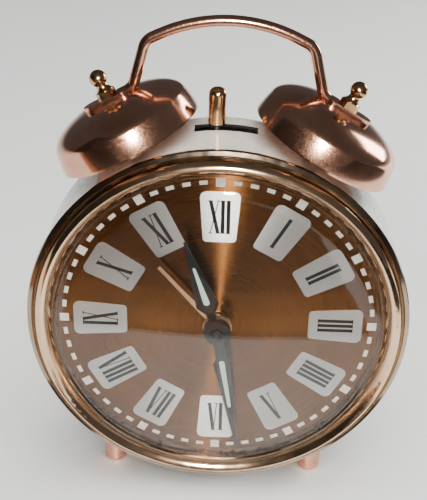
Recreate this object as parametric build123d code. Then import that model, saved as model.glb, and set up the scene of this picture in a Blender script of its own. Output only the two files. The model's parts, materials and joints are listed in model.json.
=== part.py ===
from build123d import *
import os
from math import asin, atan2, cos, degrees, hypot, radians, sin, sqrt

# Wind-up twin-bell alarm clock. Millimetres, +Z up, dial facing -Y, +X to the viewer's right.
# Every sub-part is drawn about the middle of the dial face (x right, y into the case, z up)
# and is lifted to the row frame when it is saved: origin under the middle, feet on z = 0.

# ---------------------------------------------------------------- driving dimensions
DIAL_H = 63.2           # height of the dial centre above the table
FRONT_Y = -10.6         # apex of the domed crystal
REAR_Y = 45.4           # back of the winding keys
MID_Y = (FRONT_Y + REAR_Y) / 2

CASE_R = 57.3           # outside of the drum
SHEET = 1.0             # case and bell sheet thickness
DRUM_FRONT_Y = -1.6     # front edge of the drum
STRAIGHT_Y = 22.5       # the drum is straight up to here
SHELL_REAR_Y = 34.0     # rear edge of the rounded shell
SHELL_REAR_R = 47.5
FLANGE_R = 40.5         # opening behind the rear cover
BEZEL_R = 58.1
BEZEL_IN_R = 51.0       # clear opening of the front ring
CRYSTAL_R = 50.85
CRYSTAL_T = 1.2
DOME_R = 485.0          # radius of the crystal's nearly flat middle
DOME_EDGE = 6.0         # radius of its rounded shoulder
TOP_Y = 16.6            # plane of bells, hammer and handle where they meet the drum

BELL_TILT = 28.4        # sideways lean of each bell axis
TOP_LEAN = 4.0          # bells and handle lean back together
BELL_BASE = 59.6        # case axis to the rim plane, along the bell axis
BELL_R = 22.3
BELL_H = 12.6
POST_R = 1.9            # stud of the bell posts
SLOT_X = 9.4            # half length and half width of the hammer slot
SLOT_Y = 2.65
STRIP_T = 1.5           # flattened ends of the handle
STRIP_W = 5.6
HANDLE_R = 1.65

FOOT_X = 33.0
FOOT_Y = 12.0
FOOT_R = 3.75
REAR_FOOT_Y = 27.0
REAR_FOOT_R = 3.0
FOOT_STUD_R = 1.5
COVER_SCREW_ANGLES = (90, 210, 330)
COVER_SCREW_R = 43.6    # pitch radius of the rear cover screws
SCREW_R = 1.25
MOUNT_ANGLES = (90, 210, 330)   # tabs that hold the movement
MOUNT_R = 50.6

FRONT_PLATE = (5.0, 6.2)    # y of the faces of the front movement plate
BACK_PLATE = (24.0, 25.2)
COVER = (34.0, 34.8)        # rear cover
PLATE_R = 46.0
RUN = 0.06                  # running clearance in bearings
PIVOT_R = 0.8
ARBOR_R = 1.2

HOUR_ANGLE = -19.6          # hands at rest, clockwise from twelve
MINUTE_ANGLE = 169.6
ALARM_ANGLE = -42.0
DIAL_TURN = 1.0             # the dial sits one degree anticlockwise in the case

ESCAPE_TEETH = 15
BALANCE_ROLLER_R = 2.0


def polar(angle, dist, start=(0, 0)):
    """Point at a distance from start; angle in degrees, anticlockwise from +X, seen from the front."""
    return (start[0] + dist * cos(radians(angle)), start[1] + dist * sin(radians(angle)))


def direction(start, end):
    """Angle in degrees of the line from start to end."""
    return degrees(atan2(end[1] - start[1], end[0] - start[0]))


# ---------------------------------------------------------------- train geometry
GREAT = dict(teeth=56, pinion=14)
WIND_T = (-23.0, -11.0)     # going-side winding arbor
WIND_A = (23.0, -11.0)      # alarm-side winding arbor
GREAT_MODULE = 2 * hypot(*WIND_T) / (GREAT["teeth"] + GREAT["pinion"])

CENTRE_MODULE = 0.38
THIRD = polar(125, CENTRE_MODULE * (64 + 8) / 2)
THIRD_MODULE = 0.35
FOURTH = polar(130, THIRD_MODULE * (60 + 8) / 2, THIRD)
FOURTH_MODULE = 0.30
ESCAPE = polar(170, FOURTH_MODULE * (64 + 8) / 2, FOURTH)
LEVER_DIR = 230.0
PALLET = polar(LEVER_DIR, 8.5, ESCAPE)
BALANCE = polar(LEVER_DIR, 20.0, ESCAPE)
ESCAPE_R = 7.0

ALARM_MODULE = 0.6
ALARM_ESCAPE = polar(110, ALARM_MODULE * (56 + 8) / 2, WIND_A)
ALARM_ESCAPE_R = 7.5
HAMMER_DIR = 115.0
HAMMER = polar(HAMMER_DIR, 9.0, ALARM_ESCAPE)

MOTION_MODULE = 0.5
MINUTE_WHEEL = (-12.0, 0.0)     # 12-leaf cannon pinion into 36 teeth
HOUR_MODULE = 0.48              # 10-leaf pinion into 40 teeth
ALARM_SET = (0.0, -15.0)        # 12-leaf pinion into 48 teeth

# ---------------------------------------------------------------- sizes of the small parts
STRIP_BASE = BELL_BASE + BELL_H     # bell top, along the bell axis
FINIAL_HEX = 5.4
PILLARS = [(-36, 24), (36, 24), (-12.5, -35), (12.5, -35)]
PILLAR_R = 1.9
PILLAR_STUD_R = 1.2
CLICK_GAP = 9.8             # winding arbor to click pivot
CLICK_DIR = {-1: 200.0, 1: -20.0}
CLICK_PIN_R = 0.9
STOP_PIVOT = (10.0, 24.0)
STOP_LENGTH = 12.0
STOP_DIR = 75.0
REGULATOR_LENGTH = 9.4
REGULATOR_DIR = direction(BALANCE, (0, 5))     # toward the middle of the cover
PIVOT_SCREW_R = 1.8
CENTRE_R = 1.25             # centre arbor
SET_R = 1.0                 # alarm-setting arbor
WIND_R = 2.2                # winding arbors
WIND_PIVOT_R = 1.2
HOUR_PIPE_R = 2.3
ALARM_PIPE_R = 3.2
KEY_Y = (36.0, REAR_Y)
RATCHET_TEETH = 18
RATCHET_R = 6.4
MAINSPRING_R = 13.3
PALLET_PIN_REACH = 7.9
ALARM_ESCAPE_TEETH = 20
HEAD_X = -2.9               # hammer head at rest, left of the slot's middle
HEAD_Z = (58.3, 69.5)
HEAD_R = 2.6
ARM_R = 0.9


# ---------------------------------------------------------------- drawing helpers
def slab(sketch, y0, y1):
    """Extrude a sketch drawn in x, z so that it fills y0 to y1."""
    return extrude(Plane.XZ.offset(-y1) * sketch, amount=y1 - y0)


def rod(centre, radius, y0, y1):
    return slab(Pos(*centre) * Circle(radius), y0, y1)


def tube(centre, outer, inner, y0, y1):
    return slab(Pos(*centre) * (Circle(outer) - Circle(inner)), y0, y1)


def turned(face):
    """Revolve a face drawn with radius as x and depth as y about the dial axis."""
    return revolve(Plane.XY * face, Axis.Y, 360)


def outline(points):
    return make_face(Polyline(*points, close=True))


def gear(teeth, module, phase, centre=(0, 0), depth=0.75):
    """Wheel or pinion outline with straight-flanked teeth; phase is the angle of one tooth."""
    pitch = 360 / teeth
    tip = module * (teeth / 2 + depth)
    root = module * (teeth / 2 - 1.05)
    points = []
    for k in range(teeth):
        middle = phase + k * pitch
        points.append(polar(middle - 0.27 * pitch, root, centre))
        points.append(polar(middle - 0.08 * pitch, tip, centre))
        points.append(polar(middle + 0.08 * pitch, tip, centre))
        points.append(polar(middle + 0.27 * pitch, root, centre))
    return outline(points)


def spokes(centre, inner, outer, count, width, phase=0):
    """Openings that leave a hub, a rim and straight arms."""
    open_ring = Circle(outer) - Circle(inner)
    for k in range(count):
        angle = phase + k * 360 / count
        arm = Rot(0, 0, angle) * Pos((inner + outer) / 2, 0) * Rectangle(outer - inner + 2, width)
        open_ring -= arm
    return Pos(*centre) * open_ring


def wheel(teeth, module, phase, centre, y0, y1, bore, arms=4):
    """Toothed wheel with spoked web."""
    face = gear(teeth, module, phase, centre)
    rim = module * (teeth / 2 - 1.05) - 1.3
    if rim > 5.5:
        face -= spokes(centre, 2.6, rim, arms, 1.3)
    face -= Pos(*centre) * Circle(bore)
    return slab(face, y0, y1)


def arbor(centre, radius=ARBOR_R):
    """Arbor between the plates with a pivot in each."""
    body = rod(centre, radius, FRONT_PLATE[1] + 0.15, BACK_PLATE[0] - 0.15)
    return body + rod(centre, PIVOT_R, FRONT_PLATE[0] + 0.2, BACK_PLATE[1] - 0.2)


def spiral_strip(centre, r_in, r_out, turns, thick, y0, y1, start):
    """Flat spiral spring of constant thickness."""
    steps = int(turns * 20)
    inner = []
    outer = []
    for k in range(steps + 1):
        share = k / steps
        angle = start + 360 * turns * share
        radius = r_in + (r_out - r_in) * share
        inner.append(polar(angle, radius - thick / 2, centre))
        outer.append(polar(angle, radius + thick / 2, centre))
    return slab(outline(inner + outer[::-1]), y0, y1)


def leaned_back(solid):
    """Carry a solid drawn in the plane y = 0 to the plane of bells and handle."""
    hinge = CASE_R * cos(radians(BELL_TILT))
    return Pos(0, TOP_Y, hinge) * Rot(-TOP_LEAN, 0, 0) * Pos(0, 0, -hinge) * solid


def leaning(side, solid):
    """Carry a solid drawn upright on the z axis to the axis of the bell on that side (-1 or 1)."""
    return leaned_back(Rot(0, side * BELL_TILT, 0) * solid)


def save(name, shape):
    """Write one sub-part in the row frame."""
    placed = Pos(0, -MID_Y, DIAL_H) * shape
    export_step(placed, f"parts/{name}.step")


def group(solids):
    return Compound(children=list(solids))


# ---------------------------------------------------------------- case
def shell_profile(inset):
    """Half section of the drum, radius against depth, drawn in by the sheet thickness."""
    radius = CASE_R - inset
    run = SHELL_REAR_Y - STRAIGHT_Y
    drop = CASE_R - SHELL_REAR_R
    curve = (drop * drop + run * run) / (2 * drop)
    centre_r = CASE_R - curve
    end_y = SHELL_REAR_Y - (SHEET if inset else 0)
    end_r = centre_r + sqrt((curve - inset) ** 2 - (end_y - STRAIGHT_Y) ** 2)
    half = asin((end_y - STRAIGHT_Y) / (curve - inset)) / 2
    mid = (centre_r + (curve - inset) * cos(half), STRAIGHT_Y + (curve - inset) * sin(half))
    return radius, mid, (end_r, end_y)


def solid_drum(inset, front):
    radius, mid, end = shell_profile(inset)
    edges = Polyline((0, end[1]), (0, front), (radius, front), (radius, STRAIGHT_Y))
    edges += ThreePointArc((radius, STRAIGHT_Y), mid, end)
    edges += Line(end, (0, end[1]))
    return turned(make_face(edges))


def case_shell():
    shell = solid_drum(0, DRUM_FRONT_Y) - solid_drum(SHEET, DRUM_FRONT_Y - 1)
    shell -= rod((0, 0), FLANGE_R, 30, 40)
    shell -= Pos(0, TOP_Y, CASE_R) * Box(2 * SLOT_X, 2 * SLOT_Y, 8)
    for side in (-1, 1):
        shell -= leaning(side, Pos(0, 0, CASE_R) * Cylinder(POST_R, 12))
        shell -= Pos(side * FOOT_X, FOOT_Y, -47) * Cylinder(FOOT_STUD_R, 20)
    shell -= Pos(0, REAR_FOOT_Y, -52) * Cylinder(FOOT_STUD_R, 14)
    for angle in COVER_SCREW_ANGLES:
        shell -= rod(polar(angle, COVER_SCREW_R), SCREW_R, 30, 36)
    return shell


def bezel_ring():
    """Front ring: a sloping outer step with two fine beads, then a rounded band that falls to the crystal."""
    back = DRUM_FRONT_Y - 0.02
    step = [(BEZEL_R, back), (BEZEL_R, -2.2), (57.8, -2.6), (56.7, -3.0)]
    for bead in (56.7, 56.2):
        step += [(bead - 0.1, -2.75), (bead - 0.35, -3.05)]
    step += [(55.7, -2.7), (55.5, -2.9)]
    seat = [(BEZEL_IN_R, -2.3), (BEZEL_IN_R, -1.8), (55.25, -1.8), (55.25, 0.5), (CASE_R - SHEET - 0.03, 0.5),
            (CASE_R - SHEET - 0.03, back), (BEZEL_R, back)]
    edges = Polyline(*step)
    edges += ThreePointArc((55.5, -2.9), (54.9, -4.95), (53.7, -5.7))
    edges += ThreePointArc((53.7, -5.7), (52.1, -4.5), seat[0])
    edges += Polyline(*seat)
    return turned(make_face(edges))


def dome(radius, apex, edge):
    """Solid under a shallow sphere whose rim is rounded over."""
    blank = rod((0, 0), radius, apex - 1, -1.0) & (Pos(0, apex + DOME_R, 0) * Sphere(DOME_R))
    return fillet(blank.edges().group_by(Axis.Y)[0], edge)


def crystal():
    """Pressed lens, nearly flat in the middle, with a rounded shoulder and a short skirt."""
    inner = dome(CRYSTAL_R - CRYSTAL_T, FRONT_Y + CRYSTAL_T, DOME_EDGE - CRYSTAL_T)
    return dome(CRYSTAL_R, FRONT_Y, DOME_EDGE) - inner


def dial():
    face = Circle(54.0) - Circle(3.9)
    return slab(face, 0.0, 0.6)


def dial_surround():
    """Ring between the dial edge and the front ring; the crystal stands on its inner ledge."""
    points = [(49.4, 0.0), (55.2, 0.0), (55.2, -1.75), (51.4, -1.75), (51.0, -1.0), (50.0, -1.0)]
    return turned(outline(points))


def hour_plaque(angle):
    """Trapezium plate, wider at the rim, with rounded corners."""
    r_in = 27.8
    r_out = 44.2
    shape = outline([(-4.85, r_in), (4.85, r_in), (6.05, r_out), (-6.05, r_out)])
    shape = fillet(shape.vertices().group_by(Axis.Y)[-1], 2.0)
    shape = fillet(shape.vertices().group_by(Axis.Y)[0], 1.2)
    return slab(Rot(0, 0, angle + DIAL_TURN) * shape, -0.15, 0.0)


def dial_support_ring():
    ring = Circle(CASE_R - SHEET) - Circle(48.6)
    return slab(ring, 0.6, FRONT_PLATE[0]) - group(rod(polar(a, MOUNT_R), 1.0, 2, 6) for a in MOUNT_ANGLES)


def rear_cover():
    face = Circle(46.6)
    for centre, radius in ((WIND_T, 3.0), (WIND_A, 3.0), ((0, 0), 2.2), (ALARM_SET, 1.8)):
        face -= Pos(*centre) * Circle(radius)
    for angle in COVER_SCREW_ANGLES:
        face -= Pos(*polar(angle, COVER_SCREW_R)) * Circle(SCREW_R)
    face -= arc_slot(STOP_PIVOT, STOP_LENGTH, STOP_DIR, 22, 1.1)
    face -= arc_slot(BALANCE, REGULATOR_LENGTH, REGULATOR_DIR, 28, 1.1)
    return slab(face, *COVER)


def arc_slot(centre, radius, angle, half_sweep, half_width):
    points = []
    steps = 8
    for k in range(steps + 1):
        points.append(polar(angle - half_sweep + 2 * half_sweep * k / steps, radius - half_width, centre))
    for k in range(steps, -1, -1):
        points.append(polar(angle - half_sweep + 2 * half_sweep * k / steps, radius + half_width, centre))
    return outline(points)


def cover_screw(angle):
    centre = polar(angle, COVER_SCREW_R)
    screw = rod(centre, SCREW_R, SHELL_REAR_Y - SHEET, COVER[1]) + rod(centre, 2.2, COVER[1], COVER[1] + 1.2)
    slot = Pos(centre[0], COVER[1] + 1.2, centre[1]) * Box(6, 1.0, 0.6)
    return screw - slot


# ---------------------------------------------------------------- feet, bells, handle
def foot(x, y, radius, stud_top):
    """Turned post cut to the curve of the drum, with a stud through the sheet."""
    post = Pos(x, y, -DIAL_H) * Cylinder(radius, 30, align=(Align.CENTER, Align.CENTER, Align.MIN))
    post = fillet(post.edges().group_by(Axis.Z)[0], 0.9)
    post -= solid_drum(0, -5.0)
    post = post.solids().sort_by(Axis.Z)[0]
    stud = Pos(x, y, -DIAL_H + 4) * Cylinder(
        FOOT_STUD_R, stud_top + DIAL_H - 4, align=(Align.CENTER, Align.CENTER, Align.MIN))
    return post + stud


def hex_nut(across, height, bore):
    nut = extrude(RegularPolygon(across / 2, 6, major_radius=False) - Circle(bore), amount=height)
    return chamfer(nut.edges().group_by(Axis.Z)[-1].group_by(SortBy.LENGTH)[-1], 0.25)


def case_nuts():
    nuts = [leaning(side, Pos(0, 0, 53.0) * hex_nut(6.0, 2.6, POST_R)) for side in (-1, 1)]
    nuts += [Pos(side * FOOT_X, FOOT_Y, -43.0) * hex_nut(5.5, 2.4, FOOT_STUD_R) for side in (-1, 1)]
    nuts.append(Pos(0, REAR_FOOT_Y, -52.6) * hex_nut(5.5, 2.4, FOOT_STUD_R))
    return group(nuts)


def bell_dome(inset, base):
    """Solid of the bell's outline: tall steep skirt, soft shoulder, then a low dome to a flat crown."""
    rim = BELL_R - inset
    top = BELL_H - inset
    shoulder = (rim - 1.2, 6.9 - 0.3 * inset)
    edges = Line((rim, base), (rim, 0.6))
    edges += Bezier((rim, 0.6), (rim - 0.2, 3.0), (rim - 0.7, 5.2 - 0.2 * inset), shoulder)
    edges += Bezier(shoulder, (rim - 1.95, 9.4 - 0.6 * inset), (14.6 - 0.6 * inset, top), (7.2, top))
    edges += Polyline((7.2, top), (0, top), (0, base), (rim, base))
    return revolve(Plane.XZ * make_face(edges), Axis.Z, 360)


def bell(side):
    shell = bell_dome(0, 0) - bell_dome(SHEET, -1.0)
    shell -= Pos(0, 0, BELL_H) * Cylinder(POST_R, 8)
    return leaning(side, Pos(0, 0, BELL_BASE) * shell)


def bell_post(side):
    """Shouldered post: stud through the case below, stud through bell and handle above."""
    foot_z = CASE_R - 1.5
    shoulder = Pos(0, 0, foot_z) * Cylinder(
        3.4, BELL_BASE + BELL_H - SHEET - foot_z, align=(Align.CENTER, Align.CENTER, Align.MIN))
    stud = Pos(0, 0, 52.6) * Cylinder(
        POST_R, STRIP_BASE + STRIP_T + 1.6 - 52.6, align=(Align.CENTER, Align.CENTER, Align.MIN))
    return (leaning(side, shoulder) - solid_drum(0, DRUM_FRONT_Y)) + leaning(side, stud)


def finial(side):
    """Hexagonal foot, waisted neck and ball, screwed on the post."""
    base = STRIP_BASE + STRIP_T
    foot_hex = Pos(0, 0, base) * extrude(RegularPolygon(FINIAL_HEX / 2, 6, major_radius=False), amount=2.0)
    edges = Polyline((1.9, 4.6), (0, 4.6), (0, 1.6), (2.7, 1.6), (2.7, 2.1))
    edges += ThreePointArc((2.7, 2.1), (1.8, 3.2), (1.9, 4.6))
    neck = Pos(0, 0, base) * revolve(Plane.XZ * make_face(edges), Axis.Z, 360)
    ball = Pos(0, 0, base + 6.0) * Sphere(2.6)
    bore = Pos(0, 0, base) * Cylinder(POST_R, 1.8, align=(Align.CENTER, Align.CENTER, Align.MIN))
    return leaning(side, foot_hex + neck + ball - bore)


def carry_handle():
    """Round rod bent over the clock, its ends flattened under the finials."""
    level = STRIP_BASE + STRIP_T / 2
    lean = radians(BELL_TILT)

    def on_strip(offset):
        return (level * sin(lean) + offset * cos(lean), level * cos(lean) - offset * sin(lean))

    right = [on_strip(-3.0), on_strip(-7.85), (24.2, 82.1)]
    points = right + [(0, 93.5)] + [(-x, z) for x, z in right[::-1]]
    bends = [5.0, 4.8, 46.0, 4.8, 5.0]
    path = Plane.XZ * FilletPolyline(*points, radius=bends)
    rod_body = leaned_back(sweep(Plane(origin=path @ 0, z_dir=path % 0) * Circle(HANDLE_R), path))
    strips = []
    for side in (-1, 1):
        flat = extrude(SlotOverall(15.0, STRIP_W) - Pos(-0.6, 0) * Circle(POST_R), amount=STRIP_T)
        strip = Pos(side * 0.6, 0, STRIP_BASE) * (flat if side > 0 else Rot(0, 0, 180) * flat)
        strips.append(leaning(side, strip))
    rounded = rod_body
    for side in (-1, 1):
        under = Pos(0, 0, STRIP_BASE - 10) * Box(40, 20, 20, align=(Align.CENTER, Align.CENTER, Align.CENTER))
        rounded -= leaning(side, under)
        rounded -= leaning(side, Pos(0, 0, STRIP_BASE) * Cylinder(FINIAL_HEX / 2 + 0.7, 12))
    rounded = rounded.solids().sort_by(SortBy.VOLUME)[-1]
    return rounded + strips[0] + strips[1]


# ---------------------------------------------------------------- movement frame


def plate_outline():
    face = Circle(PLATE_R) & Pos(0, -4) * Rectangle(2 * PLATE_R, 69)
    for x, z in PILLARS:
        face -= Pos(x, z) * Circle(PILLAR_STUD_R)
    for centre in (THIRD, FOURTH, ESCAPE, PALLET, ALARM_ESCAPE, HAMMER):
        face -= Pos(*centre) * Circle(PIVOT_R + RUN)
    face -= Circle(CENTRE_R + RUN)
    face -= Pos(*ALARM_SET) * Circle(SET_R + RUN)
    face -= Pos(*BALANCE) * Circle(PIVOT_SCREW_R)
    return face


def front_plate():
    face = plate_outline()
    for angle in MOUNT_ANGLES:
        face += Rot(0, 0, angle) * Pos(40, 0) * Rectangle(24, 7)
    for angle in MOUNT_ANGLES:
        face -= Pos(*polar(angle, MOUNT_R)) * Circle(1.0)
    for centre in (WIND_T, WIND_A):
        face -= Pos(*centre) * Circle(WIND_PIVOT_R + RUN)
    stud = rod(MINUTE_WHEEL, 0.9, 1.9, FRONT_PLATE[0] + 0.6)
    return slab(face, *FRONT_PLATE) + stud


def back_plate():
    face = plate_outline()
    for centre in (WIND_T, WIND_A):
        face -= Pos(*centre) * Circle(WIND_R + RUN)
    plate = slab(face, *BACK_PLATE)
    for side, centre in ((-1, WIND_T), (1, WIND_A)):
        plate += rod(polar(CLICK_DIR[side], CLICK_GAP, centre), CLICK_PIN_R, BACK_PLATE[0] + 0.2, 27.9)
    plate += rod(STOP_PIVOT, CLICK_PIN_R, BACK_PLATE[0] + 0.2, 28.2)
    return plate


def pillar(centre):
    body = rod(centre, PILLAR_R, FRONT_PLATE[1], BACK_PLATE[0])
    return body + rod(centre, PILLAR_STUD_R, FRONT_PLATE[0], BACK_PLATE[1] + 1.9)


def pillar_nut(centre):
    nut = RegularPolygon(2.4, 6, major_radius=False) - Circle(PILLAR_STUD_R)
    return slab(Pos(*centre) * nut, BACK_PLATE[1], BACK_PLATE[1] + 1.6)


def movement_screw(angle):
    centre = polar(angle, MOUNT_R)
    return rod(centre, 1.0, 2.0, FRONT_PLATE[1]) + rod(centre, 1.9, FRONT_PLATE[1], FRONT_PLATE[1] + 1.1)


def balance_pivot_screws():
    hole = PIVOT_R - 0.3 + RUN
    front = rod(BALANCE, PIVOT_SCREW_R, 4.2, 7.6) - rod(BALANCE, hole, 6.3, 8.0)
    back = rod(BALANCE, PIVOT_SCREW_R, 22.4, 26.6) - rod(BALANCE, hole, 22.0, 23.7)
    return group([front, back])


# ---------------------------------------------------------------- hands and motion work
def hand_blade(length, hub, neck, neck_end, shoulder_end, width, angle):
    """Hand with a round hub, a narrow neck and a long tapering blade."""
    blade = outline([(-neck / 2, 0), (-neck / 2, neck_end), (-width / 2, shoulder_end), (-0.25, length),
                     (0.25, length), (width / 2, shoulder_end), (neck / 2, neck_end), (neck / 2, 0)])
    return Rot(0, 0, -angle) * (blade + Circle(hub))


def hour_hand():
    face = hand_blade(31.6, 4.2, 2.7, 6.4, 9.2, 7.0, HOUR_ANGLE) - Circle(HOUR_PIPE_R)
    return slab(face, -5.25, -4.75)


def minute_hand():
    face = hand_blade(42.0, 3.9, 3.0, 8.6, 10.6, 5.2, MINUTE_ANGLE) - Circle(CENTRE_R)
    return slab(face, -7.05, -6.55)


def alarm_hand():
    blade = outline([(-0.8, 0), (-0.8, 6), (-0.45, 26.9), (0.45, 26.9), (0.8, 6), (0.8, 0)])
    face = Rot(0, 0, -ALARM_ANGLE) * (blade + Circle(4.4)) - Circle(ALARM_PIPE_R)
    return slab(face, -3.4, -2.95)


def hour_wheel():
    mesh = direction((0, 0), MINUTE_WHEEL) + 180 / 40
    teeth = wheel(40, HOUR_MODULE, mesh, (0, 0), 1.9, 2.5, CENTRE_R + 0.4)
    return teeth + tube((0, 0), HOUR_PIPE_R, CENTRE_R + 0.4, -5.4, 2.5)


def alarm_wheel():
    mesh = direction((0, 0), ALARM_SET) + 180 / 48
    disc = wheel(48, MOTION_MODULE, mesh, (0, 0), 0.95, 1.5, HOUR_PIPE_R + 0.35)
    collar = tube((0, 0), ALARM_PIPE_R, HOUR_PIPE_R + 0.35, -3.5, 1.5)
    return disc + collar


def minute_wheel():
    to_centre = direction(MINUTE_WHEEL, (0, 0))
    big = wheel(36, MOTION_MODULE, to_centre + 180 / 36, MINUTE_WHEEL, 3.4, 4.0, 0.9 + RUN)
    small = slab(gear(10, HOUR_MODULE, to_centre, MINUTE_WHEEL), 1.75, 3.4)
    return big + (small - rod(MINUTE_WHEEL, 0.9 + RUN, 0, 5))


def cannon_pinion():
    leaves = slab(gear(12, MOTION_MODULE, direction((0, 0), MINUTE_WHEEL)) - Circle(CENTRE_R), 2.7, 4.3)
    return leaves


def centre_arbor():
    return rod((0, 0), CENTRE_R, -8.2, 37.0)


def knurled_knob(centre, radius, bore, y0, y1):
    """Round knob with a fluted rim and a chamfered face."""
    face = Circle(radius)
    count = 24
    for k in range(count):
        face -= Pos(*polar(k * 360 / count, radius + 0.15)) * Circle(0.4)
    knob = slab(Pos(*centre) * face, y0 + 1.2, y1) + rod(centre, radius * 0.6, y0, y0 + 1.2)
    dish = rod(centre, radius * 0.62, y1 - 0.7, y1 + 1)
    return knob - dish - rod(centre, bore, y0 - 1, y1 - 2.2)


def hand_set_knob():
    return knurled_knob((0, 0), 5.0, CENTRE_R, 35.6, 41.6) - rod((0, 0), CENTRE_R, 35, 37.0)


def alarm_set_arbor():
    leaves = slab(gear(12, MOTION_MODULE, direction(ALARM_SET, (0, 0)), ALARM_SET), 0.8, 1.7)
    return leaves + rod(ALARM_SET, SET_R, 0.8, 37.0)


def alarm_set_knob():
    return knurled_knob(ALARM_SET, 4.2, SET_R, 35.6, 40.6) - rod(ALARM_SET, SET_R, 35, 37.0)


# ---------------------------------------------------------------- winding work


def winding_arbor(centre):
    """Arbor from the front plate to the key, with a hook for the spring."""
    body = rod(centre, WIND_R, FRONT_PLATE[1] + 0.15, KEY_Y[0] + 3.0)
    return body + rod(centre, WIND_PIVOT_R, FRONT_PLATE[0] + 0.2, FRONT_PLATE[1] + 0.2)


def ratchet(centre, hand):
    """Saw-toothed wheel fixed on the winding arbor."""
    pitch = 360 / RATCHET_TEETH
    points = []
    for k in range(RATCHET_TEETH):
        points.append(polar(hand * k * pitch, RATCHET_R, centre))
        points.append(polar(hand * (k + 0.12) * pitch, RATCHET_R - 0.9, centre))
    return slab(outline(points) - Pos(*centre) * Circle(WIND_R), 25.5, 27.0)


def click(side, centre):
    """Pawl on its pin, nose just clear of the ratchet tips."""
    heading = CLICK_DIR[side]
    pivot = polar(heading, CLICK_GAP, centre)
    nose = polar(heading + side * 52, RATCHET_R + 0.35, centre)
    back = polar(heading + side * 46, RATCHET_R + 2.0, centre)
    shape = outline([polar(heading, 1.5, pivot), polar(heading + side * 90, 1.4, pivot), back, nose,
                     polar(heading + side * 20, RATCHET_R + 1.3, centre), polar(heading - 180, 1.5, pivot)])
    shape = shape + Pos(*pivot) * Circle(1.7) - Pos(*pivot) * Circle(CLICK_PIN_R + RUN)
    return slab(shape, 25.5, 27.0)


def winding_key(centre):
    """Butterfly key: round socket with two flat oval wings."""
    hub = rod(centre, 3.4, KEY_Y[0], KEY_Y[0] + 5.0)
    wing = Plane(origin=(centre[0], KEY_Y[0] + 5.4, centre[1]), x_dir=(1, 0, 0), z_dir=(0, 0, 1))
    face = Pos(5.6, 0) * Ellipse(5.2, 4.0) + Pos(-5.6, 0) * Ellipse(5.2, 4.0)
    face += Rectangle(7.0, 4.6)
    face -= Pos(6.2, 0.3) * Circle(1.5)
    face -= Pos(-6.2, 0.3) * Circle(1.5)
    blade = extrude(wing * face, amount=0.7, both=True)
    key = hub + (blade - rod(centre, 20, 30, KEY_Y[0] + 1.4))
    return key - rod(centre, WIND_R, KEY_Y[0] - 1, KEY_Y[0] + 3.0)


def mainspring(centre):
    """Coiled strip between the plates, inner end on the arbor."""
    return spiral_strip(centre, 3.4, MAINSPRING_R, 6.5, 0.55, 8.0, 16.0, 90)


# ---------------------------------------------------------------- going train
def great_wheel(centre, teeth, module, mesh):
    plate = wheel(teeth, module, mesh, centre, 17.0, 18.2, WIND_R + RUN, arms=5)
    return plate + tube(centre, 3.6, WIND_R + RUN, 16.4, 18.2)


def time_great_wheel():
    mesh = direction(WIND_T, (0, 0)) + 180 / GREAT["teeth"]
    return great_wheel(WIND_T, GREAT["teeth"], GREAT_MODULE, mesh)


def alarm_great_wheel():
    mesh = direction(WIND_A, ALARM_ESCAPE) + 180 / 56
    return great_wheel(WIND_A, 56, ALARM_MODULE, mesh)


def centre_wheel():
    """Wheel and pinion on a sleeve that grips the centre arbor by friction."""
    sleeve = tube((0, 0), 2.2, CENTRE_R + RUN, 15.6, 22.0)
    leaves = slab(gear(GREAT["pinion"], GREAT_MODULE, direction((0, 0), WIND_T)), 16.7, 18.5)
    leaves -= rod((0, 0), CENTRE_R + RUN, 10, 30)
    disc = wheel(64, CENTRE_MODULE, direction((0, 0), THIRD) + 180 / 64, (0, 0), 20.2, 21.0, CENTRE_R + RUN)
    return sleeve + leaves + disc


def third_wheel():
    leaves = slab(gear(8, CENTRE_MODULE, direction(THIRD, (0, 0)), THIRD), 19.9, 21.4)
    disc = wheel(60, THIRD_MODULE, direction(THIRD, FOURTH) + 180 / 60, THIRD, 22.0, 22.7, 0.6)
    return arbor(THIRD, 1.1) + leaves + disc


def fourth_wheel():
    leaves = slab(gear(8, THIRD_MODULE, direction(FOURTH, THIRD), FOURTH), 21.6, 23.2)
    disc = wheel(64, FOURTH_MODULE, direction(FOURTH, ESCAPE) + 180 / 64, FOURTH, 10.0, 10.7, 0.6)
    return arbor(FOURTH, 1.0) + leaves + disc


def escape_wheel():
    """Fifteen slanted teeth on a light spoked disc."""
    points = []
    pitch = 360 / ESCAPE_TEETH
    for k in range(ESCAPE_TEETH):
        points.append(polar(k * pitch, ESCAPE_R, ESCAPE))
        points.append(polar(k * pitch + 3.5, ESCAPE_R, ESCAPE))
        points.append(polar(k * pitch + 9.0, ESCAPE_R - 1.7, ESCAPE))
        points.append(polar((k + 1) * pitch - 5.0, ESCAPE_R - 1.7, ESCAPE))
    disc = slab(outline(points) - spokes(ESCAPE, 1.9, 4.2, 4, 0.9), 13.2, 13.9)
    leaves = slab(gear(8, FOURTH_MODULE, direction(ESCAPE, FOURTH), ESCAPE), 9.6, 11.2)
    return arbor(ESCAPE, 0.9) + leaves + disc


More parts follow.
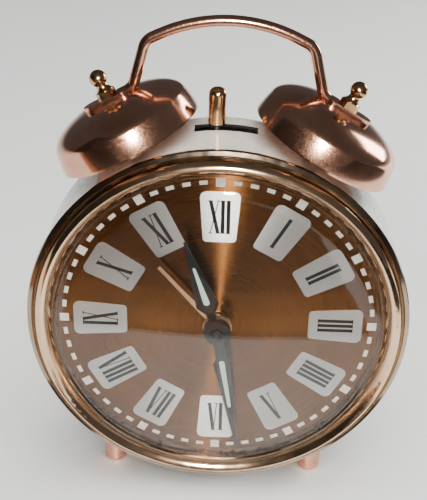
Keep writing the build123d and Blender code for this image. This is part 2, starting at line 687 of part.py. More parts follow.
def pallet_lever():
    """Pin-pallet lever: two pins beside the escape wheel and a fork towards the balance."""
    bar_y = (14.4, 15.1)
    arms = Pos(*PALLET) * Circle(1.6)
    pins = None
    for turn in (-42, 42):
        tip = polar(LEVER_DIR + turn, PALLET_PIN_REACH, ESCAPE)
        heading = direction(PALLET, tip)
        span = hypot(tip[0] - PALLET[0], tip[1] - PALLET[1])
        arms += Pos(*PALLET) * Rot(0, 0, heading) * Pos(span / 2, 0) * Rectangle(span, 0.9)
        arms += Pos(*tip) * Circle(0.6)
        pin = rod(tip, 0.3, 13.0, bar_y[0] + 0.3)
        pins = pin if pins is None else pins + pin
    fork = Pos(*PALLET) * Rot(0, 0, LEVER_DIR)
    arms += fork * Pos(3.6, 0) * Rectangle(7.2, 0.9)
    for side in (-1, 1):
        arms += fork * Pos(7.6, side * 0.75) * Rectangle(1.6, 0.6)
    arms += fork * Pos(7.0, 0) * Rectangle(0.7, 2.1)
    return arbor(PALLET, 0.9) + slab(arms, *bar_y) + pins


def balance_wheel():
    """Ring balance with three arms, staff, roller and impulse pin."""
    rim = Pos(*BALANCE) * Circle(9.4) - spokes(BALANCE, 1.9, 7.9, 3, 1.1, 90)
    wheel_body = slab(rim, 9.0, 10.6)
    staff = rod(BALANCE, 1.0, 7.8, 22.2) + rod(BALANCE, PIVOT_R - 0.3, 6.5, 23.5)
    roller = rod(BALANCE, 2.7, 15.6, 16.0)
    impulse = rod(polar(LEVER_DIR + 180, BALANCE_ROLLER_R, BALANCE), 0.35, 14.2, 15.7)
    return wheel_body + staff + roller + impulse


def hairspring():
    """Flat spiral about the staff, its outer end pinned to a block on the back plate."""
    strip = spiral_strip(BALANCE, 1.9, 6.2, 5.0, 0.25, 20.0, 20.9, 20)
    end = polar(20, 6.2, BALANCE)
    block = slab(Pos(*end) * Rectangle(1.6, 1.6), 19.6, BACK_PLATE[0])
    return strip + block


# ---------------------------------------------------------------- alarm work


def alarm_escape_wheel():
    points = []
    pitch = 360 / ALARM_ESCAPE_TEETH
    for k in range(ALARM_ESCAPE_TEETH):
        points.append(polar(k * pitch - 2, ALARM_ESCAPE_R, ALARM_ESCAPE))
        points.append(polar(k * pitch + 2, ALARM_ESCAPE_R, ALARM_ESCAPE))
        points.append(polar((k + 0.5) * pitch, ALARM_ESCAPE_R - 1.9, ALARM_ESCAPE))
    disc = slab(outline(points) - spokes(ALARM_ESCAPE, 2.0, 4.4, 4, 1.0), 18.8, 19.6)
    leaves = slab(gear(8, ALARM_MODULE, direction(ALARM_ESCAPE, WIND_A), ALARM_ESCAPE), 16.8, 18.4)
    return arbor(ALARM_ESCAPE, 1.1) + leaves + disc


def hammer_arm():
    """Bent wire arm on the hammer arbor, with the alarm verge."""
    knee = (-1.4, 49.0)
    top = (HEAD_X, HEAD_Z[0] + 5.0)
    path = Plane.XZ.offset(-TOP_Y) * FilletPolyline(HAMMER, knee, (HEAD_X, 56.0), top, radius=6.0)
    wire = sweep(Plane(origin=path @ 0, z_dir=path % 0) * Circle(ARM_R), path)
    collar = rod(HAMMER, 2.2, TOP_Y - 1.4, TOP_Y + 1.4)
    bar = Pos(*HAMMER) * Circle(1.7)
    pins = None
    for turn in (-35, 35):
        tip = polar(HAMMER_DIR + turn, 9.1, ALARM_ESCAPE)
        heading = direction(HAMMER, tip)
        span = hypot(tip[0] - HAMMER[0], tip[1] - HAMMER[1])
        bar += Pos(*HAMMER) * Rot(0, 0, heading) * Pos(span / 2, 0) * Rectangle(span, 1.1)
        bar += Pos(*tip) * Circle(0.65)
        pin = rod(tip, 0.35, 18.6, 22.0)
        pins = pin if pins is None else pins + pin
    return arbor(HAMMER) + collar + wire + slab(bar, 21.6, 22.3) + pins


def hammer_head():
    """Cylinder with a domed top, drilled for the arm."""
    length = HEAD_Z[1] - HEAD_Z[0]
    body = Pos(HEAD_X, TOP_Y, HEAD_Z[0]) * Cylinder(
        HEAD_R, length, align=(Align.CENTER, Align.CENTER, Align.MIN))
    body = fillet(body.edges().group_by(Axis.Z)[-1], 1.9)
    body = chamfer(body.edges().group_by(Axis.Z)[0], 0.4)
    drill = Pos(HEAD_X, TOP_Y, HEAD_Z[0] - 1) * Cylinder(
        ARM_R, 6.0, align=(Align.CENTER, Align.CENTER, Align.MIN))
    return body - drill


# ---------------------------------------------------------------- levers at the back
def tab_lever(pivot, length, heading, bore, y0, y1, tab_y):
    """Flat lever on a pin with a tab that stands out through the rear cover."""
    tip = polar(heading, length, pivot)
    face = Pos(*pivot) * Circle(bore + 1.5)
    face += Pos(*pivot) * Rot(0, 0, heading) * Pos(length / 2, 0) * Rectangle(length, 2.2)
    face += Pos(*tip) * Circle(1.1)
    face -= Pos(*pivot) * Circle(bore + RUN)
    tab = slab(Pos(*tip) * Rot(0, 0, heading) * Rectangle(1.2, 2.0), y0, tab_y)
    grip = slab(Pos(*tip) * Rot(0, 0, heading) * Rectangle(2.6, 3.4), COVER[1] + 0.6, tab_y)
    return slab(face, y0, y1) + tab + grip


def alarm_stop_lever():
    return tab_lever(STOP_PIVOT, STOP_LENGTH, STOP_DIR, CLICK_PIN_R, 26.6, 27.6, 38.4)


def regulator_lever():
    return tab_lever(BALANCE, REGULATOR_LENGTH, REGULATOR_DIR, PIVOT_SCREW_R, 25.3, 26.1, 37.6)


# ---------------------------------------------------------------- write every sub-part
def main():
    os.makedirs("parts", exist_ok=True)
    save("case_shell", case_shell())
    save("bezel_ring", bezel_ring())
    save("crystal", crystal())
    save("dial", dial())
    save("dial_surround", dial_surround())
    save("hour_plaques", group(hour_plaque(k * 30) for k in range(12)))
    save("dial_support_ring", dial_support_ring())
    save("rear_cover", rear_cover())
    save("rear_cover_screws", group(cover_screw(a) for a in COVER_SCREW_ANGLES))
    save("front_foot_left", foot(-FOOT_X, FOOT_Y, FOOT_R, -40.4))
    save("front_foot_right", foot(FOOT_X, FOOT_Y, FOOT_R, -40.4))
    save("rear_foot", foot(0, REAR_FOOT_Y, REAR_FOOT_R, -47.0))
    save("case_nuts", case_nuts())
    for side, name in ((-1, "left"), (1, "right")):
        save(f"bell_{name}", bell(side))
        save(f"finial_{name}", finial(side))
    save("bell_posts", group(bell_post(side) for side in (-1, 1)))
    save("carry_handle", carry_handle())

    save("front_plate", front_plate())
    save("back_plate", back_plate())
    save("plate_pillars", group(pillar(p) for p in PILLARS))
    save("pillar_nuts", group(pillar_nut(p) for p in PILLARS))
    save("movement_screws", group(movement_screw(a) for a in MOUNT_ANGLES))
    save("balance_pivot_screws", balance_pivot_screws())

    save("hour_hand", hour_hand())
    save("minute_hand", minute_hand())
    save("alarm_hand", alarm_hand())
    save("hour_wheel", hour_wheel())
    save("alarm_wheel", alarm_wheel())
    save("minute_wheel", minute_wheel())
    save("cannon_pinion", cannon_pinion())
    save("centre_arbor", centre_arbor())
    save("hand_set_knob", hand_set_knob())
    save("alarm_set_arbor", alarm_set_arbor())
    save("alarm_set_knob", alarm_set_knob())

    for side, name, centre in ((-1, "time", WIND_T), (1, "alarm", WIND_A)):
        save(f"{name}_winding_arbor", winding_arbor(centre))
        save(f"{name}_ratchet_wheel", ratchet(centre, side))
        save(f"{name}_click", click(side, centre))
        save(f"{name}_winding_key", winding_key(centre))
        save(f"{name}_mainspring", mainspring(centre))
    save("time_great_wheel", time_great_wheel())
    save("alarm_great_wheel", alarm_great_wheel())
    save("centre_wheel", centre_wheel())
    save("third_wheel", third_wheel())
    save("fourth_wheel", fourth_wheel())
    save("escape_wheel", escape_wheel())
    save("pallet_lever", pallet_lever())
    save("balance_wheel", balance_wheel())
    save("hairspring", hairspring())
    save("alarm_escape_wheel", alarm_escape_wheel())
    save("hammer_arm", hammer_arm())
    save("hammer_head", hammer_head())
    save("alarm_stop_lever", alarm_stop_lever())
    save("regulator_lever", regulator_lever())


main()
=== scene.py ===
import json
from math import cos, pi, radians, sin

import bmesh
import bpy
from mathutils import Matrix, Vector


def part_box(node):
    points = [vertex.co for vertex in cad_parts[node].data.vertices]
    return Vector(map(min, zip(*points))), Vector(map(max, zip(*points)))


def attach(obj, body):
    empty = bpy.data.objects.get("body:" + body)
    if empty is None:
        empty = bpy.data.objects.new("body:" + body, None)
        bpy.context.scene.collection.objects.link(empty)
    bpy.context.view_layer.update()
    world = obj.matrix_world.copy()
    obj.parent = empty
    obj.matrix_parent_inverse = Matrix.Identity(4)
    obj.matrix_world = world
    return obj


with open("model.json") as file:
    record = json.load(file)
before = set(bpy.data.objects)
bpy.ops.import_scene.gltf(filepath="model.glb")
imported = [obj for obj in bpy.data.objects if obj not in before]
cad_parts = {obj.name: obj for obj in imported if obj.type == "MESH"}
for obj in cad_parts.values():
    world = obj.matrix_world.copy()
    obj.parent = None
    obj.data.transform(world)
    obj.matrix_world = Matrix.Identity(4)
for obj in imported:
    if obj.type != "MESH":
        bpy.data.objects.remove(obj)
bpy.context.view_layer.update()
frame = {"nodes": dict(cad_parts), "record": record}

# Twin-bell alarm clock. Metres, in the CAD frame: dial facing -Y, +Z up, origin on the table.
MM = 0.001
NODES = frame["nodes"]

DIAL_LOW, DIAL_HIGH = (Vector(p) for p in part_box("dial"))
CENTRE = Vector((0.0, DIAL_LOW.y, (DIAL_LOW.z + DIAL_HIGH.z) / 2))    # middle of the dial's front face


# ---------------------------------------------------------------- material helpers
def shader(name):
    """New node material with its principled shader, ready for links."""
    mat = bpy.data.materials.new(name)
    mat.use_nodes = True
    tree = mat.node_tree
    return mat, tree, tree.nodes["Principled BSDF"]


def node(tree, kind, **values):
    """New shader node; each value sets the input of that name, or else the setting of that name."""
    made = tree.nodes.new(kind)
    for key, value in values.items():
        if key in made.inputs:
            made.inputs[key].default_value = value
        else:
            setattr(made, key, value)
    return made


def noise(tree, scale, detail=4.0, rough=0.55, stretch=(1, 1, 1)):
    """Noise in object coordinates, each multiplied by its axis of stretch."""
    coords = node(tree, "ShaderNodeTexCoord")
    mapping = node(tree, "ShaderNodeMapping")
    mapping.inputs["Scale"].default_value = stretch
    tree.links.new(coords.outputs["Object"], mapping.inputs["Vector"])
    made = node(tree, "ShaderNodeTexNoise", Scale=scale, Detail=detail, Roughness=rough)
    tree.links.new(mapping.outputs["Vector"], made.inputs["Vector"])
    return made.outputs["Fac"]


def ramp(tree, source, stops):
    """Colour ramp through (place, colour) stops."""
    made = node(tree, "ShaderNodeValToRGB")
    elements = made.color_ramp.elements
    while len(elements) < len(stops):
        elements.new(0.5)
    for element, (place, colour) in zip(elements, stops):
        element.position = place
        element.color = (*colour, 1.0)
    tree.links.new(source, made.inputs["Fac"])
    return made.outputs["Color"]


def spread(tree, source, low, high, at=(0.3, 0.7)):
    """Map a value between the two ends of at to between low and high, clamped."""
    made = node(tree, "ShaderNodeMapRange")
    made.inputs["From Min"].default_value = at[0]
    made.inputs["From Max"].default_value = at[1]
    made.inputs["To Min"].default_value = low
    made.inputs["To Max"].default_value = high
    tree.links.new(source, made.inputs["Value"])
    return made.outputs["Result"]


def bump(tree, bsdf, source, height, strength):
    """Surface relief of the given height in metres."""
    made = node(tree, "ShaderNodeBump", Strength=strength, Distance=height)
    tree.links.new(source, made.inputs["Height"])
    tree.links.new(made.outputs["Normal"], bsdf.inputs["Normal"])


def metal(name, dark, light, rough, grain, patch=60):
    """Plated or bare metal: patchy tone, fine grain in roughness and a faint surface relief."""
    mat, tree, bsdf = shader(name)
    bsdf.inputs["Metallic"].default_value = 1.0
    tone = noise(tree, patch, 5.0)
    tree.links.new(ramp(tree, tone, [(0.3, dark), (0.7, light)]), bsdf.inputs["Base Color"])
    fine = noise(tree, grain, 6.0, 0.65)
    tree.links.new(spread(tree, fine, *rough), bsdf.inputs["Roughness"])
    bump(tree, bsdf, fine, 0.02 * MM, 0.25)
    return mat


def brush_round(tree, bsdf, amount):
    """Grooves run in circles about the arbor, so highlights stretch outward from it."""
    bsdf.inputs["Anisotropic"].default_value = amount
    bsdf.inputs["Anisotropic Rotation"].default_value = 0.25
    tangent = node(tree, "ShaderNodeTangent", direction_type="RADIAL", axis="Y")
    tree.links.new(tangent.outputs["Tangent"], bsdf.inputs["Tangent"])


def satin(name, dark, light):
    """Light satin metal with a round brushed finish."""
    mat, tree, bsdf = shader(name)
    bsdf.inputs["Metallic"].default_value = 0.95
    brush_round(tree, bsdf, 0.8)
    tree.links.new(ramp(tree, noise(tree, 50, 5.0), [(0.3, dark), (0.7, light)]), bsdf.inputs["Base Color"])
    grit = noise(tree, 4000, 3.0)
    tree.links.new(spread(tree, grit, 0.36, 0.46), bsdf.inputs["Roughness"])
    bump(tree, bsdf, grit, 0.02 * MM, 0.3)
    return mat


def paint(name, dark, light, rough, grain, height=0.01 * MM, coat=0.0, patch=40, specular=0.5):
    """Painted, printed or woven surface with a soft mottle, and a clear coat where asked for."""
    mat, tree, bsdf = shader(name)
    tone = noise(tree, patch, 5.0)
    tree.links.new(ramp(tree, tone, [(0.3, dark), (0.7, light)]), bsdf.inputs["Base Color"])
    fine = noise(tree, grain, 5.0)
    tree.links.new(spread(tree, fine, *rough), bsdf.inputs["Roughness"])
    bsdf.inputs["Coat Weight"].default_value = coat
    bsdf.inputs["Coat Roughness"].default_value = 0.06
    bsdf.inputs["Specular IOR Level"].default_value = specular
    bump(tree, bsdf, fine, height, 0.2)
    return mat


def from_centre(tree):
    """Distance from the middle of the dial, in metres."""
    coords = node(tree, "ShaderNodeTexCoord")
    shift = node(tree, "ShaderNodeVectorMath", operation="SUBTRACT")
    shift.inputs[1].default_value = CENTRE
    flat = node(tree, "ShaderNodeVectorMath", operation="MULTIPLY")
    flat.inputs[1].default_value = (1.0, 0.0, 1.0)
    radius = node(tree, "ShaderNodeVectorMath", operation="LENGTH")
    tree.links.new(coords.outputs["Object"], shift.inputs[0])
    tree.links.new(shift.outputs["Vector"], flat.inputs[0])
    tree.links.new(flat.outputs["Vector"], radius.inputs[0])
    return radius.outputs["Value"]


BRUSH_PITCH = 9000.0                      # noise cells per metre outward across the dial
BRUSH_SHARE = 0.35                        # weight of the brushed lines in the dial's tone
TURNING_PITCH = 1500.0                    # noise cells per metre outward across the front ring
RING_STEP = (55.35 * MM, 55.55 * MM)      # radius where the ring's inner band meets its outer step
PAINTED_SHADE_RADIUS = (57.15 * MM, 57.2 * MM)       # radius where the enamel begins and the painted shade inside the drum ends, just under the drum's outside
PAINTED_SHADE_DEPTH = (22.0 * MM, 22.2 * MM)        # depth behind the dial where the near-black painted shade inside the drum ends
COLOUR_A = 6                              # colour sockets of the mix node, by their place in its lists
COLOUR_B = 7
COLOUR_OUT = 2
SLANT_POWER = 4.0                         # how late the crystal turns into a mirror
FACE_MIRROR = 0.036                       # mirror share seen square on
SLANT_MIRROR = 0.7                        # mirror share added edge on


def dial_material():
    """Brown lacquered metal brushed in circles about the arbor."""
    mat, tree, bsdf = shader("dial_brushed_brown")
    rings = node(tree, "ShaderNodeTexNoise", noise_dimensions="1D", Scale=BRUSH_PITCH, Detail=3.0)
    tree.links.new(from_centre(tree), rings.inputs["W"])
    mixed = node(tree, "ShaderNodeMath", operation="MULTIPLY_ADD")
    mixed.inputs[1].default_value = BRUSH_SHARE
    tree.links.new(rings.outputs["Fac"], mixed.inputs[0])
    tree.links.new(noise(tree, 34, 4.0), mixed.inputs[2])
    stops = [(0.45, (0.072, 0.029, 0.009)), (0.95, (0.125, 0.050, 0.014))]
    colour = ramp(tree, mixed.outputs["Value"], stops)
    tree.links.new(colour, bsdf.inputs["Base Color"])
    tree.links.new(spread(tree, rings.outputs["Fac"], 0.22, 0.28), bsdf.inputs["Roughness"])
    bsdf.inputs["Metallic"].default_value = 0.95
    bsdf.inputs["Specular IOR Level"].default_value = 0.3
    brush_round(tree, bsdf, 1.0)
    return mat


def ring_material():
    """Front ring: bronze outer step, rose-gold inner band, faint turning lines."""
    mat, tree, bsdf = shader("ring_rose_gold")
    bsdf.inputs["Metallic"].default_value = 1.0
    radius = from_centre(tree)
    zones = spread(tree, radius, 0.0, 1.0, RING_STEP)
    blend = node(tree, "ShaderNodeMix", data_type="RGBA")
    tone = noise(tree, 60, 5.0)
    tree.links.new(zones, blend.inputs["Factor"])
    rose = ramp(tree, tone, [(0.3, (0.70, 0.46, 0.28)), (0.7, (0.84, 0.60, 0.40))])
    bronze = ramp(tree, tone, [(0.3, (0.32, 0.24, 0.17)), (0.7, (0.46, 0.36, 0.26))])
    tree.links.new(rose, blend.inputs[COLOUR_A])
    tree.links.new(bronze, blend.inputs[COLOUR_B])
    tree.links.new(blend.outputs[COLOUR_OUT], bsdf.inputs["Base Color"])
    lines = node(tree, "ShaderNodeTexNoise", noise_dimensions="1D", Scale=TURNING_PITCH, Detail=2.0)
    tree.links.new(radius, lines.inputs["W"])
    tree.links.new(spread(tree, noise(tree, 300, 6.0), 0.08, 0.14), bsdf.inputs["Roughness"])
    bump(tree, bsdf, lines.outputs["Fac"], 0.01 * MM, 0.05)
    return mat


def case_material():
    """Cream enamel with a soft mottle, and near-black painted shade on the inside and in the hammer slot.
    """
    mat = paint("cream_enamel", (0.46, 0.44, 0.39), (0.58, 0.56, 0.50), (0.2, 0.34), 90, coat=0.6)
    tree = mat.node_tree
    bsdf = tree.nodes["Principled BSDF"]
    outer = bsdf.inputs["Base Color"].links[0].from_socket
    coords = node(tree, "ShaderNodeTexCoord")
    parts = node(tree, "ShaderNodeSeparateXYZ")
    tree.links.new(coords.outputs["Object"], parts.inputs["Vector"])
    inside = spread(tree, from_centre(tree), 1.0, 0.0, PAINTED_SHADE_RADIUS)
    shade_ahead = spread(tree, parts.outputs["Y"], 1.0, 0.0, [CENTRE.y + depth for depth in PAINTED_SHADE_DEPTH])
    # mask of the painted shade: inside the drum, and no further back than the given depth
    both = node(tree, "ShaderNodeMath", operation="MULTIPLY")
    tree.links.new(inside, both.inputs[0])
    tree.links.new(shade_ahead, both.inputs[1])
    blend = node(tree, "ShaderNodeMix", data_type="RGBA")
    tree.links.new(both.outputs["Value"], blend.inputs["Factor"])
    tree.links.new(outer, blend.inputs[COLOUR_A])
    # near-black painted shade standing in for the dark inside the drum and in the hammer slot
    blend.inputs[COLOUR_B].default_value = (0.012, 0.012, 0.013, 1.0)
    tree.links.new(blend.outputs[COLOUR_OUT], bsdf.inputs["Base Color"])
    return mat


def glass_material():
    """Clear lens with faint smears and hairline scratches, mirror-like at a slant."""
    mat, tree, bsdf = shader("crystal_glass")
    tree.nodes.remove(bsdf)
    clear = node(tree, "ShaderNodeBsdfTransparent")
    clear.inputs["Color"].default_value = (0.97, 0.975, 0.97, 1.0)
    gloss = node(tree, "ShaderNodeBsdfGlossy")
    slant = node(tree, "ShaderNodeLayerWeight", Blend=0.5)
    steep = node(tree, "ShaderNodeMath", operation="POWER")
    steep.inputs[1].default_value = SLANT_POWER
    mirror = node(tree, "ShaderNodeMath", operation="MULTIPLY_ADD")
    mirror.inputs[1].default_value = SLANT_MIRROR
    mirror.inputs[2].default_value = FACE_MIRROR
    tree.links.new(slant.outputs["Facing"], steep.inputs[0])
    tree.links.new(steep.outputs["Value"], mirror.inputs[0])
    mixer = node(tree, "ShaderNodeMixShader")
    smear = noise(tree, 45, 6.0)
    scratch = noise(tree, 260, 3.0, 0.6, (1, 1, 14))
    rough = node(tree, "ShaderNodeMath", operation="ADD")
    tree.links.new(spread(tree, smear, 0.03, 0.07, (0.5, 0.85)), rough.inputs[0])
    tree.links.new(spread(tree, scratch, 0.0, 0.08, (0.68, 0.73)), rough.inputs[1])
    tree.links.new(rough.outputs["Value"], gloss.inputs["Roughness"])
    tree.links.new(mirror.outputs["Value"], mixer.inputs["Fac"])
    tree.links.new(clear.outputs["BSDF"], mixer.inputs[1])
    tree.links.new(gloss.outputs["BSDF"], mixer.inputs[2])
    tree.links.new(mixer.outputs["Shader"], tree.nodes["Material Output"].inputs["Surface"])
    return mat


def build_materials():
    """Every material of the clock, by the name of its slot."""
    return {
        "bell_copper": metal("copper_plate", (0.62, 0.31, 0.20), (0.80, 0.45, 0.32), (0.06, 0.22), 2600,
                             patch=90),
        "foot_copper": metal("copper_feet", (0.62, 0.30, 0.20), (0.80, 0.44, 0.31), (0.16, 0.3), 700),
        "bezel_brass": ring_material(),
        "finial_brass": metal("finial_brass", (0.46, 0.27, 0.13), (0.66, 0.42, 0.22), (0.08, 0.2), 600),
        "knob_brass": metal("knob_brass", (0.55, 0.40, 0.18), (0.74, 0.56, 0.28), (0.14, 0.3), 600),
        "gear_brass": metal("gear_brass", (0.56, 0.42, 0.18), (0.74, 0.58, 0.28), (0.2, 0.35), 400),
        "case_enamel": case_material(),
        "cover_steel": paint("cover_enamel", (0.55, 0.53, 0.47), (0.62, 0.60, 0.54), (0.25, 0.4), 90,
                             coat=0.4),
        "crystal_glass": glass_material(),
        "dial_brown": dial_material(),
        "surround_dark": metal("surround_bronze", (0.08, 0.045, 0.03), (0.16, 0.09, 0.06), (0.2, 0.4), 500),
        "plaque_silver": satin("plaque_silver", (0.36, 0.36, 0.36), (0.46, 0.46, 0.46)),
        "plate_steel": metal("plate_steel", (0.50, 0.50, 0.49), (0.62, 0.61, 0.60), (0.25, 0.4), 300),
        "screw_steel": metal("screw_steel", (0.52, 0.52, 0.53), (0.68, 0.68, 0.68), (0.15, 0.3), 300),
        "arbor_steel": metal("arbor_steel", (0.45, 0.45, 0.46), (0.62, 0.62, 0.63), (0.15, 0.3), 300),
        "lever_steel": metal("lever_steel", (0.48, 0.48, 0.49), (0.64, 0.64, 0.65), (0.2, 0.35), 300),
        "spring_blue": metal("spring_blue", (0.06, 0.09, 0.20), (0.14, 0.18, 0.32), (0.15, 0.3), 300),
        "hand_black": paint("hand_black", (0.006, 0.007, 0.009), (0.014, 0.016, 0.019), (0.3, 0.45), 700,
                            coat=0.03, specular=0.15),
        "hand_beige": metal("alarm_hand_gilt", (0.50, 0.34, 0.20), (0.64, 0.46, 0.30), (0.25, 0.4), 500),
        "print_white": paint("print_white", (0.72, 0.69, 0.63), (0.82, 0.79, 0.73), (0.4, 0.55), 900),
        "print_black": paint("print_black", (0.004, 0.005, 0.007), (0.012, 0.013, 0.016), (0.5, 0.65), 900,
                             specular=0.12),
        "lume": paint("lume_green", (0.52, 0.70, 0.55), (0.62, 0.80, 0.64), (0.5, 0.7), 1500,
                      height=0.03 * MM),
    }


MATERIALS = build_materials()


def dress_nodes():
    """Give every CAD node the material of its slot."""
    for part in frame["record"]["subparts"]:
        data = NODES[part["node"]].data
        data.materials.clear()
        data.materials.append(MATERIALS[part["material_slot"]])


dress_nodes()


# ---------------------------------------------------------------- pieces added to the dial and hands
NUMERALS = ("XII", "I", "II", "III", "IIII", "V", "VI", "VII", "VIII", "IX", "X", "XI")
# Sizes on the dial are in millimetres.
PLAQUE_MID = 36.0       # radius of the middle of the plaques
NUMERAL_H = 10.8
THICK = 1.1             # heavy strokes of the numerals
THIN = 0.3              # light strokes
SERIF = THIN * 1.1      # thickness of the serifs
SERIF_I = 1.35          # length of the serifs of an I
SERIF_HEAVY = 1.4       # and at the end of a heavy or light slanted stroke
SERIF_LIGHT = 1.1
REACH = 1.15            # how far the strokes of V and X lean off the letter's middle
V_FOOT_HEAVY = 0.1      # where the strokes of a V stand, right of the letter's middle
V_FOOT_LIGHT = 0.25
ADVANCE = {"I": 1.65, "V": 3.3, "X": 3.3}    # room for each letter
FLIPPED = range(4, 9)   # the lower numerals are turned over to read upright
MARK_R = 47.1           # radius of the middle of the minute marks
HOUR_MARK = (2.7, 2.8)  # width, and length outward
MINUTE_MARK = (2.4, 1.25)
PRINT_PROUD = 0.03      # how far the print stands above its ground
PRINT_THICK = 0.04
LUME_PROUD = 0.08       # and the luminous bars above their hands
LUME_THICK = 0.1
HOUR_INLAY = (10.4, 22.4, 1.9, 0.8)      # inner and outer radius, inner and outer width
MINUTE_INLAY = (10.6, 26.8, 1.7, 1.0)
END_STEPS = 8           # facets of a bar's rounded end
# Radius and height of the hand cap, measured from the front of the minute hand.
CAP_PROFILE = ((0.0, 1.52), (0.6, 1.49), (1.1, 1.4), (1.45, 1.26), (1.7, 0.9), (1.8, 0.05))
CAP_SIDES = 32
MINUTE_TURN = 169.6     # degrees clockwise from twelve, hands as they stand in the CAD
HOUR_TURN = -19.6
DIAL_TURN = -1.0        # the printed dial sits one degree anticlockwise


def stroke(start, end, width):
    """Straight stroke as four corners, square across its length."""
    a = Vector(start)
    b = Vector(end)
    side = (b - a).normalized().orthogonal() * width / 2
    return [a + side, b + side, b - side, a - side]


def slanted(x_low, x_high, width):
    """Stroke from the foot line to the cap line, cut level at both ends."""
    half = NUMERAL_H / 2
    return [Vector((x_low - width / 2, -half)), Vector((x_low + width / 2, -half)),
            Vector((x_high + width / 2, half)), Vector((x_high - width / 2, half))]


def serif(x, level, width):
    """Level bar across the end of a stroke."""
    return stroke((x - width / 2, level), (x + width / 2, level), SERIF)


def glyph(letter, x):
    """Corners of every stroke of one letter centred on x."""
    half = NUMERAL_H / 2
    end = half - SERIF / 2
    if letter == "I":
        return [slanted(x, x, THICK), serif(x, end, SERIF_I), serif(x, -end, SERIF_I)]
    left = x - REACH
    right = x + REACH
    caps = [serif(left, end, SERIF_HEAVY), serif(right, end, SERIF_LIGHT)]
    if letter == "V":
        return [slanted(x + V_FOOT_HEAVY, left, THICK), slanted(x + V_FOOT_LIGHT, right, THIN), *caps]
    return [slanted(right, left, THICK), slanted(left, right, THIN), *caps,
            serif(left, -end, SERIF_LIGHT), serif(right, -end, SERIF_HEAVY)]


def numeral(text):
    """Corners of every stroke of a numeral centred on the origin."""
    total = sum(ADVANCE[letter] for letter in text)
    x = -total / 2
    corners = []
    for letter in text:
        corners += glyph(letter, x + ADVANCE[letter] / 2)
        x += ADVANCE[letter]
    return corners


def on_dial(point, turn):
    """Dial-plane point in millimetres, turned clockwise about the centre."""
    a = radians(turn)
    return Vector((point[0] * cos(a) + point[1] * sin(a), point[1] * cos(a) - point[0] * sin(a)))


def finished(name, mesh, material, body):
    """Turn a bmesh into a named piece with its material, riding on a body."""
    data = bpy.data.meshes.new(name)
    mesh.to_mesh(data)
    mesh.free()
    piece = bpy.data.objects.new(name, data)
    bpy.context.collection.objects.link(piece)
    data.materials.append(MATERIALS[material])
    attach(piece, body)
    return piece


def plates(name, outlines, front, thick, material, body):
    """One mesh of thin plates; corners are in millimetres on the dial, front and thick in metres."""
    mesh = bmesh.new()
    for corners in outlines:
        spots = [(CENTRE.x + p[0] * MM, CENTRE.z + p[1] * MM) for p in corners]
        near = [mesh.verts.new((x, front, z)) for x, z in spots]
        far = [mesh.verts.new((x, front + thick, z)) for x, z in spots]
        mesh.faces.new(near)
        mesh.faces.new(far[::-1])
        for k in range(len(spots)):
            following = (k + 1) % len(spots)
            mesh.faces.new((near[k], far[k], far[following], near[following]))
    bmesh.ops.recalc_face_normals(mesh, faces=mesh.faces)
    return finished(name, mesh, material, body)


def turned(name, profile, sides, material, body):
    """Solid turned about the arbor; profile is (radius, depth) in millimetres from the tip outward."""
    mesh = bmesh.new()
    tip = mesh.verts.new((CENTRE.x, CENTRE.y + profile[0][1] * MM, CENTRE.z))
    rows = []
    for r, depth in profile[1:]:
        turns = [2 * pi * k / sides for k in range(sides)]
        rows.append([mesh.verts.new((CENTRE.x + r * cos(a) * MM, CENTRE.y + depth * MM,
                                     CENTRE.z + r * sin(a) * MM)) for a in turns])
    for k in range(sides):
        following = (k + 1) % sides
        mesh.faces.new((tip, rows[0][k], rows[0][following]))
        for row, outer in zip(rows, rows[1:]):
            mesh.faces.new((row[k], outer[k], outer[following], row[following]))
    mesh.faces.new(rows[-1])
    bmesh.ops.recalc_face_normals(mesh, faces=mesh.faces)
    for face in mesh.faces:
        face.smooth = len(face.verts) < 5
    return finished(name, mesh, material, body)


def capsule(r_in, r_out, w_in, w_out, turn):
    """Rounded bar along a hand, between two radii."""
    corners = []
    for r, w, begin in ((r_out, w_out, 0), (r_in, w_in, 180)):
        for k in range(END_STEPS + 1):
            a = radians(begin + k * 180 / END_STEPS)
            corners.append((w / 2 * cos(a), r + w / 2 * sin(a)))
    return [on_dial(c, turn) for c in corners]


def build_dial_print():
    """Numerals on the plaques and the ring of minute marks on the dial."""
    plaque_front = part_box("hour_plaques")[0].y
    outlines = []
    for hour, text in enumerate(NUMERALS):
        flip = 180 if hour in FLIPPED else 0
        for corners in numeral(text):
            lifted = [on_dial(c, flip) + Vector((0, PLAQUE_MID)) for c in corners]
            outlines.append([on_dial(c, hour * 30 + DIAL_TURN) for c in lifted])
    proud = PRINT_PROUD * MM
    thick = PRINT_THICK * MM
    plates("numerals", outlines, plaque_front - proud, thick, "print_black", "root")
    marks = []
    for minute in range(60):
        wide, deep = MINUTE_MARK if minute % 5 else HOUR_MARK
        box = [(-wide / 2, MARK_R - deep / 2), (wide / 2, MARK_R - deep / 2),
               (wide / 2, MARK_R + deep / 2), (-wide / 2, MARK_R + deep / 2)]
        marks.append([on_dial(c, minute * 6 + DIAL_TURN) for c in box])
    plates("minute_marks", marks, CENTRE.y - proud, thick, "print_white", "root")


def build_hand_inlays():
    """Luminous bars on the hour and minute hands."""
    hour_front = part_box("hour_hand")[0].y
    minute_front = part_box("minute_hand")[0].y
    proud = LUME_PROUD * MM
    thick = LUME_THICK * MM
    plates("hour_hand_lume", [capsule(*HOUR_INLAY, HOUR_TURN)], hour_front - proud, thick,
           "lume", "hour_hand_body")
    plates("minute_hand_lume", [capsule(*MINUTE_INLAY, MINUTE_TURN)], minute_front - proud, thick,
           "lume", "hand_setting_train")


def build_hand_cap():
    """Small black domed cap pressed over the tip of the minute arbor."""
    hub = (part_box("minute_hand")[0].y - CENTRE.y) / MM
    profile = [(radius, hub - height) for radius, height in CAP_PROFILE]
    turned("hand_cap", profile, CAP_SIDES, "print_black", "hand_setting_train")


build_dial_print()
build_hand_inlays()
build_hand_cap()


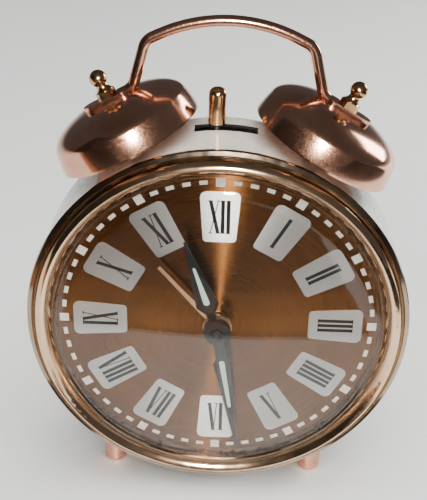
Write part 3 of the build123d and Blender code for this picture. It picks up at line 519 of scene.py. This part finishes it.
# ---------------------------------------------------------------- floor, light, camera; metres and watts
def card(name, place, size, cloth, turn=(0, 0)):
    """Cloth card that only reflections see, turned about y and then z in degrees."""
    bpy.ops.mesh.primitive_plane_add(size=1.0, location=place,
                                     rotation=(0, radians(turn[0]), radians(turn[1])))
    made = bpy.context.object
    made.name = name
    made.scale = (*size, 1.0)
    made.data.materials.append(cloth)
    made.visible_camera = False
    made.visible_diffuse = False
    made.visible_shadow = False
    return made


def build_stage():
    """Pale floor, with cloth cards that darken or warm what the metal and the crystal reflect."""
    bpy.ops.mesh.primitive_plane_add(size=8.0, location=(0, 1.0, 0))
    floor = bpy.context.object
    floor.name = "floor"
    pale = paint("floor_pale", (0.74, 0.75, 0.75), (0.78, 0.79, 0.79), (0.5, 0.6), 40, patch=3)
    floor.data.materials.append(pale)
    black = paint("flag_cloth", (0.010, 0.009, 0.008), (0.016, 0.014, 0.012), (0.8, 0.9), 40)
    brown = paint("warm_cloth", (0.24, 0.10, 0.03), (0.28, 0.12, 0.04), (0.8, 0.9), 40)
    flag = card("black_flag", (-0.71, -0.82, 0.004), (1.58, 1.4), black)
    board = card("dark_board", (-0.75, -0.55, 0.45), (0.9, 1.5), black, turn=(90, 30))
    shade = card("shade_card", (0, -0.032, 0.003), (0.16, 0.014), black)
    warm = card("warm_card", (-0.71, -0.15, 0.0045), (1.58, 0.05), brown)
    wing = card("black_flag_right", (0.92, -0.72, 0.004), (1.4, 1.6), black)


def build_sky():
    """Weak even light from all round."""
    world = bpy.data.worlds.new("studio")
    bpy.context.scene.world = world
    world.use_nodes = True
    sky = world.node_tree.nodes["Background"]
    sky.inputs["Color"].default_value = (0.80, 0.80, 0.82, 1.0)
    sky.inputs["Strength"].default_value = 0.10


def area_light(name, place, side, watts, colour):
    """Square light aimed at the middle of the dial."""
    data = bpy.data.lights.new(name, "AREA")
    data.shape = "RECTANGLE"
    data.size = side
    data.size_y = side
    data.energy = watts
    data.color = colour
    light = bpy.data.objects.new(name, data)
    bpy.context.collection.objects.link(light)
    light.location = place
    light.rotation_euler = (CENTRE - Vector(place)).to_track_quat("-Z", "Y").to_euler()
    return light


def build_lights():
    """Soft light from above and in front, with a window and a small flash for the highlights."""
    overhead = area_light("overhead", (0.15, -0.35, 1.3), side=1.4, watts=42, colour=(1.0, 0.99, 0.97))
    front_fill = area_light("front_fill", (-0.3, -1.3, 1.0), side=1.0, watts=12, colour=(1.0, 0.97, 0.93))
    area_light("side_window", (0.62, 0.50, 0.30), side=0.30, watts=4.5, colour=(1.0, 0.97, 0.92))
    flash = area_light("flash", (0.012, -0.31, 0.262), side=0.022, watts=8.0, colour=(1.0, 0.92, 0.84))
    overhead.visible_glossy = False
    front_fill.visible_glossy = False
    flash.visible_diffuse = False


# Metres, degrees, and millimetres for the lens.
CAMERA_PLACE = Vector((0.0019, -0.2980, 0.2417))
CAMERA_PITCH = -28.68
CAMERA_ROLL = -2.31
CAMERA_YAW = 0.82
CAMERA_LENS = 91.3


def build_camera():
    """Camera in front of and above the clock, looking down at the dial."""
    data = bpy.data.cameras.new("camera")
    data.sensor_width = 36.0
    data.sensor_fit = "HORIZONTAL"
    data.lens = CAMERA_LENS
    camera = bpy.data.objects.new("camera", data)
    bpy.context.collection.objects.link(camera)
    turn = Matrix.Rotation(radians(CAMERA_YAW), 4, "Z") @ Matrix.Rotation(radians(CAMERA_PITCH), 4, "X")
    turn = turn @ Matrix.Rotation(radians(CAMERA_ROLL), 4, "Y") @ Matrix.Rotation(pi / 2, 4, "X")
    camera.matrix_world = Matrix.Translation(CAMERA_PLACE) @ turn
    bpy.context.scene.camera = camera


build_stage()
build_sky()
build_camera()
build_lights()
